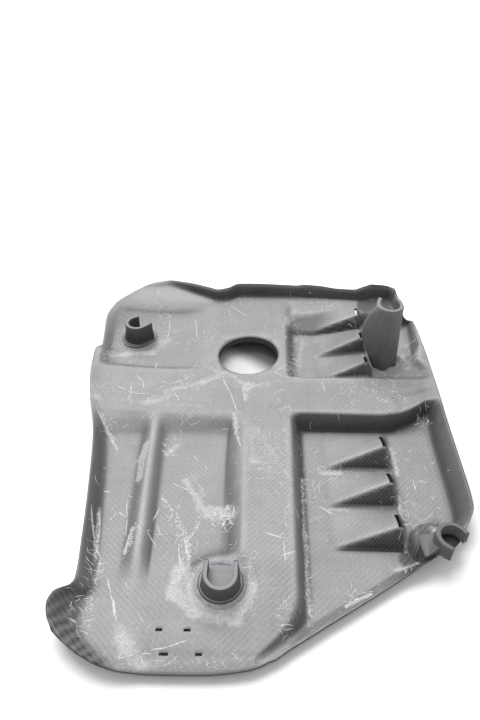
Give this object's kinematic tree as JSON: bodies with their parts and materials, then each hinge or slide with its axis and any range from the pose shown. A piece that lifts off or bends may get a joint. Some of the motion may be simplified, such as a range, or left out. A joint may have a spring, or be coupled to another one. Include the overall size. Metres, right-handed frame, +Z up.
{
  "type": "engine cover",
  "caption": "Moulded carbon-fibre engine cover lying on its outer face, with a ribbed and recessed inner side, oil filler hole, scooped vent slots and glued U-shaped mount sockets.",
  "frame": {"origin": "middle of the cover's outline box, on the floor that it lies on", "axes": "+X to the right, +Y from the near rim towards the oil filler hole and the far rim, +Z up out of the engine side"},
  "size_m": [0.386, 0.5035, 0.09],
  "materials": {
    "laminate": "satin resin over grey-black woven twill, dusty and scratched inside, glossy outside",
    "socket_plastic": "dull grey moulded plastic",
    "adhesive": "dull grey sanded adhesive"
  },
  "bodies": {
    "root": {"shell": "laminate", "socket_left": "socket_plastic", "socket_tall": "socket_plastic", "socket_front": "socket_plastic", "socket_corner": "socket_plastic", "glue_left": "adhesive", "glue_tall": "adhesive", "glue_front": "adhesive", "glue_corner": "adhesive"}
  },
  "joints": []
}
